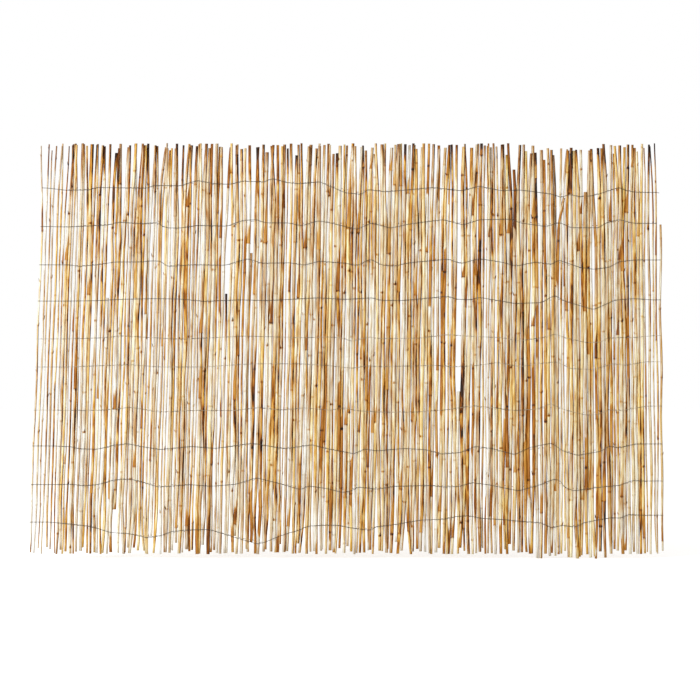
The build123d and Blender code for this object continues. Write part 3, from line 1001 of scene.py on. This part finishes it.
def make_wire(number, face, stems, material):
    """A wire that lies on the reeds of its row and dips between them, with its ends turned in.

    Where no reed keeps the two wires of a row apart, the back one runs at the height of the front one.
    """
    node_name = f"wire_{number:02d}_{face}"
    side = -1 if face == "front" else 1
    bend_x, bend_z = wire_bends(node_name)
    front_bend_x, front_bend_z = wire_bends(f"wire_{number:02d}_front")
    xs = np.arange(bend_x[0], bend_x[-1], CREST_STEP)
    crests = reed_crests(stems, xs, float(np.mean(bend_z)), side)
    bare = spread(spread(crests <= 0, BARE_REACH, np.max).astype(float), BARE_BLEND, np.mean)
    tight = spread(spread(crests, WIRE_REST, np.max), WIRE_REST, np.mean)
    radius, dip_share = WIRE_RADIUS, SURFACE_SHARE
    if number in SUNK_ROWS:
        radius, dip_share = SUNK_WIRE_RADIUS, SUNK_SHARE
    lie = tight + dip_share * (spread(crests, DIP_BLEND, np.mean) - tight) + radius
    lie[:TURNED_IN_COUNT] = radius
    lie[-TURNED_IN_COUNT:] = radius

    path_x = np.arange(xs[0], xs[-1], WIRE_STEP)
    path_y = side * np.interp(path_x, xs, lie)
    own_z = np.interp(path_x, bend_x, bend_z)
    front_z = np.interp(path_x, front_bend_x, front_bend_z)
    path_z = own_z + np.interp(path_x, xs, bare) * (front_z - own_z)
    path_z = spread(path_z, HEIGHT_BLEND, np.mean)
    if node_name == TAIL_NODE:
        end_x, end_y, end_z = path_x[-1], path_y[-1], path_z[-1]
        path_x = np.append(path_x, [end_x + further for further, higher in TAIL_BENDS])
        path_y = np.append(path_y, [end_y] * len(TAIL_BENDS))
        path_z = np.append(path_z, [end_z + higher for further, higher in TAIL_BENDS])
    lists = MeshLists()
    count = len(path_x)
    for x, y, z in zip(path_x, path_y, path_z):
        for corner in range(WIRE_SIDES):
            angle = math.tau * corner / WIRE_SIDES
            lists.points.append((x, y + radius * math.cos(angle), z + radius * math.sin(angle)))

    def place_of(ring, corner):
        along_map = WIRE_MAP_START + WIRE_MAP_REACH * ring / (count - 1)
        return (along_map, WIRE_MAP_SIDE_START + WIRE_MAP_SIDE_REACH * corner / WIRE_SIDES)

    lists.join_rings(0, count, WIRE_SIDES, place_of)
    make_object(node_name + "_strand", lists, material, [node_name])


def make_studio():
    """A pale floor, soft light from the front and the world, and a camera that looks straight on."""
    world = bpy.data.worlds.new("studio")
    bpy.context.scene.world = world
    world.use_nodes = True
    nodes = Nodes(world.node_tree)
    seen = seen_rays(nodes)
    ambient = nodes.remap(seen, 0, 1, AMBIENT, 1.0)
    background = nodes.add("ShaderNodeBackground", Color=(1, 1, 1, 1), Strength=ambient)
    nodes.add("ShaderNodeOutputWorld", Surface=background.outputs["Background"])

    lamp = bpy.data.objects.new("lamp", bpy.data.lights.new("lamp", "AREA"))
    lamp.data.size = LAMP_SIZE
    lamp.data.energy = LAMP_POWER
    lamp.location = LAMP_PLACE
    aim = Vector(VIEW_CENTRE) - lamp.location
    lamp.rotation_euler = aim.to_track_quat("-Z", "Y").to_euler()
    bpy.context.scene.collection.objects.link(lamp)

    bpy.ops.mesh.primitive_plane_add(size=FLOOR_SIZE, location=(0, 0, 0))
    floor = bpy.context.object
    floor.name = "floor"
    floor.data.materials.append(floor_material())

    camera = bpy.data.objects.new("camera", bpy.data.cameras.new("camera"))
    camera.data.sensor_width = SENSOR_WIDTH
    camera.data.lens = SENSOR_WIDTH * VIEW_DISTANCE / VIEW_WIDTH
    camera.location = Vector(VIEW_CENTRE) - Vector((0, VIEW_DISTANCE, 0))
    camera.rotation_euler = (math.radians(90), 0, 0)
    bpy.context.scene.collection.objects.link(camera)
    bpy.context.scene.camera = camera
    bpy.context.scene.view_settings.view_transform = "Standard"


def seen_rays(nodes):
    """1 for rays that show the background, straight or in a reflection, and 0 for rays that light."""
    path = nodes.add("ShaderNodeLightPath")
    seen = nodes.math("MAXIMUM", path.outputs["Is Camera Ray"], path.outputs["Is Glossy Ray"])
    return nodes.math("MAXIMUM", seen, path.outputs["Is Transmission Ray"])


def floor_material():
    """A pale matt floor that reads as white and still takes a shadow."""
    material, nodes = new_material("pale_floor")
    place = nodes.add("ShaderNodeTexCoord").outputs["Object"]
    grain = nodes.noise(place, FLOOR_GRAIN)
    bump = nodes.add("ShaderNodeBump", Strength=FLOOR_BUMP[0], Distance=FLOOR_BUMP[1], Height=grain)
    shader = nodes.add(
        "ShaderNodeBsdfPrincipled",
        Base_Color=linear(FLOOR_COLOUR),
        Roughness=nodes.remap(grain, *NOISE_LEVELS, *FLOOR_ROUGHNESS),
        Normal=bump.outputs["Normal"],
        Specular_IOR_Level=0.0,
        Emission_Color=(1, 1, 1, 1),
        Emission_Strength=nodes.math("MULTIPLY", seen_rays(nodes), FLOOR_GLOW),
    )
    nodes.add("ShaderNodeOutputMaterial", Surface=shader.outputs["BSDF"])
    return material


reeds = lay_out_reeds()
mat = [reed for reed in reeds if not reed.loose]
gaps = find_gaps(mat)
slits = find_slits(mat, gaps[:len(GAPS)])
first_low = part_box("reed_left_1")[0]
to_frame = (
    first_low.x - reeds[0].left_at(reeds[0].bottom) * MM,
    0.0,
    first_low.z - reeds[0].bottom * MM,
)

form_dice = random.Random(FORM_SEED)
stems = [grow_stem(reed, index, gaps, slits, form_dice) for index, reed in enumerate(reeds)]
paint_brown(stems)

straw = reed_material()
mat_stems = stems[LEFT_LOOSE_COUNT:LEFT_LOOSE_COUNT + MAT_REED_COUNT]
strip_length = math.ceil(MAT_REED_COUNT / len(STRIP_NAMES))
for strip_number, strip_name in enumerate(STRIP_NAMES):
    strip = mat_stems[strip_number * strip_length:(strip_number + 1) * strip_length]
    lists = MeshLists(VALUE_NAMES)
    for column, stem in enumerate(strip):
        add_stem(lists, stem, column, len(strip))
    make_object(strip_name, lists, straw, ["reed_mat"])

loose_groups = {"reed_left": stems[:LEFT_LOOSE_COUNT], "reed_right": stems[-RIGHT_LOOSE_COUNT:]}
for group_name, group in loose_groups.items():
    for number, stem in enumerate(group, start=1):
        node_name = f"{group_name}_{number}"
        lists = MeshLists(VALUE_NAMES)
        add_stem(lists, stem, 0, 1)
        make_object(node_name + "_stem", lists, straw, [node_name])

steel = wire_material("binding_wire", WIRE_STAINS, WIRE_COLOURS)
sunk_steel = wire_material("sunk_binding_wire", SUNK_WIRE_STAINS, SUNK_WIRE_COLOURS)
row_count = sum(name.startswith("wire_") and name.endswith("_front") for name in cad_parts)
for row_number in range(1, row_count + 1):
    for face in ("front", "back"):
        make_wire(row_number, face, stems, sunk_steel if row_number in SUNK_ROWS else steel)

make_studio()
